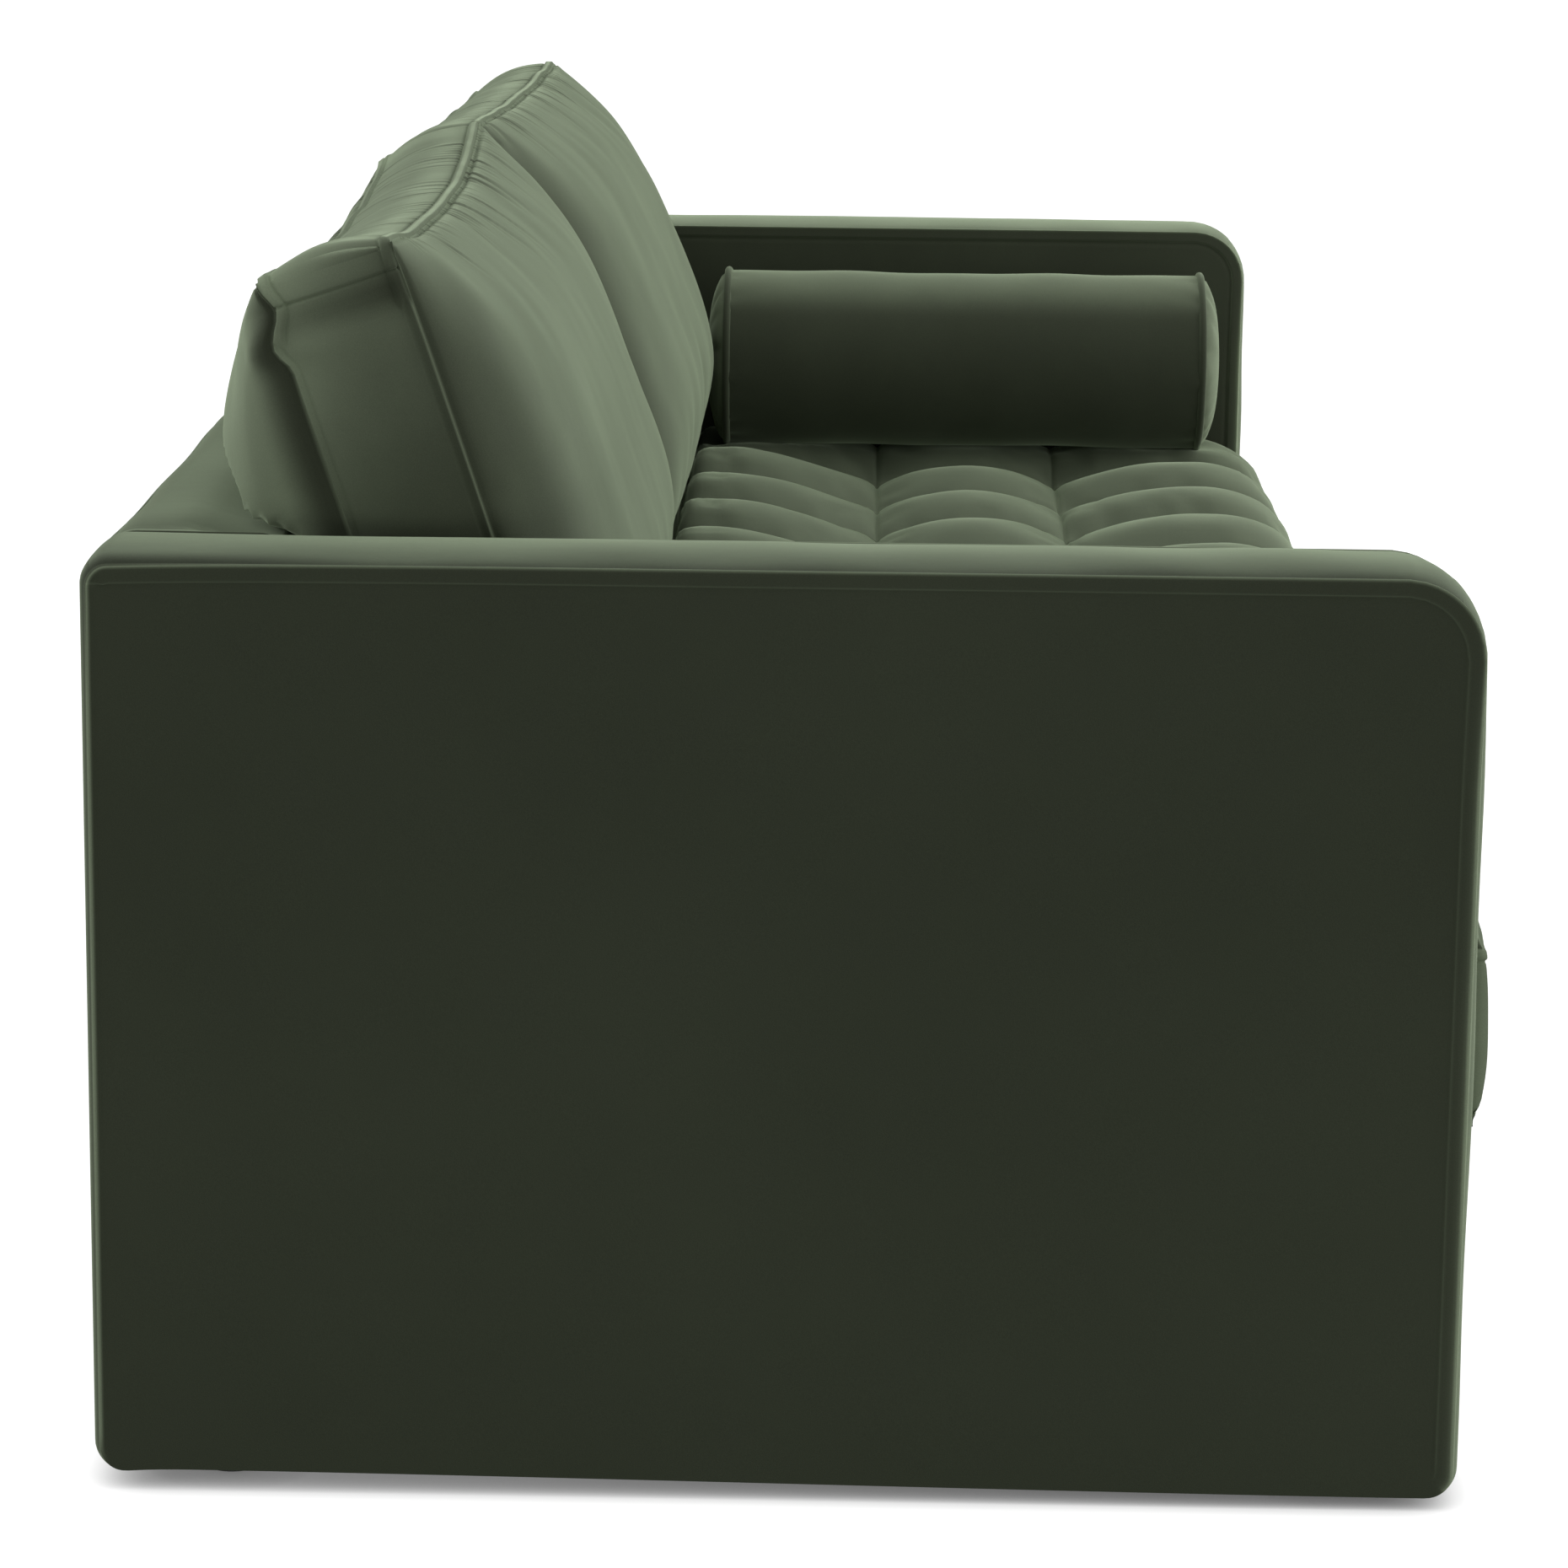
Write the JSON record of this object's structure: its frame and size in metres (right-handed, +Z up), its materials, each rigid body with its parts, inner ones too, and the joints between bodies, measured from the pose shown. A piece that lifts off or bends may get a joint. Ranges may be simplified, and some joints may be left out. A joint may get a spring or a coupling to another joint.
{
  "type": "tufted sofa bed",
  "caption": "Long upholstered sofa bed: tufted seat cushion on a slatted frame that pulls forward, loose back cushions, bolsters, square arms with a rounded front corner.",
  "frame": {"origin": "on the floor, under the middle of the sofa's bounding box", "axes": "+X across the sofa to the sitter's left, -Y to the front, +Z up"},
  "size_m": [2.42, 0.953, 0.8269],
  "materials": {
    "velvet": "cotton velvet with a short dense pile",
    "timber": "sawn pine, unfinished",
    "slat_wood": "planed birch, satin",
    "steel": "zinc-plated",
    "leg_steel": "black powder coat",
    "nylon": "moulded, matte",
    "bumper_rubber": "moulded rubber",
    "foam": "cut polyurethane foam",
    "wadding": "non-woven bag of fibre"
  },
  "bodies": {
    "sofa_frame": {"right_arm_frame": "timber", "left_arm_frame": "timber", "right_arm_cover": "velvet", "left_arm_cover": "velvet", "back_frame": "timber", "back_cover": "velvet", "glides": "nylon", "side_ledgers": "timber", "rear_ledger": "timber", "cross_beam": "timber", "beam_brackets": "steel", "beam_legs": "leg_steel", "leg_feet": "nylon", "fixed_slats": "slat_wood", "slat_pads": "nylon", "ledger_bolts": "steel", "back_bolts": "steel", "outer_runners": "steel", "rear_pad": "velvet", "right_back_cushion": "velvet", "left_back_cushion": "velvet", "right_back_filling": "wadding", "left_back_filling": "wadding"},
    "middle_runners": {"middle_runners": "steel"},
    "seat": {"inner_runners": "steel", "sliding_side_rails": "timber", "sliding_rear_bar": "timber", "stop_bumpers": "bumper_rubber", "sliding_slats": "slat_wood", "front_rail": "timber", "front_panel_cover": "velvet", "caster_brackets": "steel", "caster_axles": "steel", "seat_cushion": "velvet", "seat_foam": "foam", "right_bolster": "velvet", "left_bolster": "velvet", "right_bolster_core": "foam", "left_bolster_core": "foam"},
    "wheel_1": {"caster_wheel_1": "nylon"},
    "wheel_2": {"caster_wheel_2": "nylon"},
    "wheel_3": {"caster_wheel_3": "nylon"},
    "wheel_4": {"caster_wheel_4": "nylon"}
  },
  "joints": [
    {"name": "seat_slide", "type": "slide", "parent": "sofa_frame", "child": "seat", "axis": [0, -1, 0], "range_m": [0, 0.58]},
    {"name": "middle_runner_slide", "type": "slide", "parent": "sofa_frame", "child": "middle_runners", "axis": [0, -1, 0], "range_m": [0, 0.29]},
    {"name": "wheel_1_spin", "type": "hinge", "parent": "seat", "child": "wheel_1", "pos_m": [-0.87634, -0.3735, 0.025], "axis": [1, 0, 0], "range_deg": [0, 1330]},
    {"name": "wheel_2_spin", "type": "hinge", "parent": "seat", "child": "wheel_2", "pos_m": [-0.3057, -0.3735, 0.025], "axis": [1, 0, 0], "range_deg": [0, 1330]},
    {"name": "wheel_3_spin", "type": "hinge", "parent": "seat", "child": "wheel_3", "pos_m": [0.3057, -0.3735, 0.025], "axis": [1, 0, 0], "range_deg": [0, 1330]},
    {"name": "wheel_4_spin", "type": "hinge", "parent": "seat", "child": "wheel_4", "pos_m": [0.87634, -0.3735, 0.025], "axis": [1, 0, 0], "range_deg": [0, 1330]}
  ],
  "couplings": [
    {"joint": "middle_runner_slide", "follows": "seat_slide", "ratio": 0.5},
    {"joint": "wheel_1_spin", "follows": "seat_slide", "rad_per_m": 40},
    {"joint": "wheel_2_spin", "follows": "seat_slide", "rad_per_m": 40},
    {"joint": "wheel_3_spin", "follows": "seat_slide", "rad_per_m": 40},
    {"joint": "wheel_4_spin", "follows": "seat_slide", "rad_per_m": 40}
  ]
}
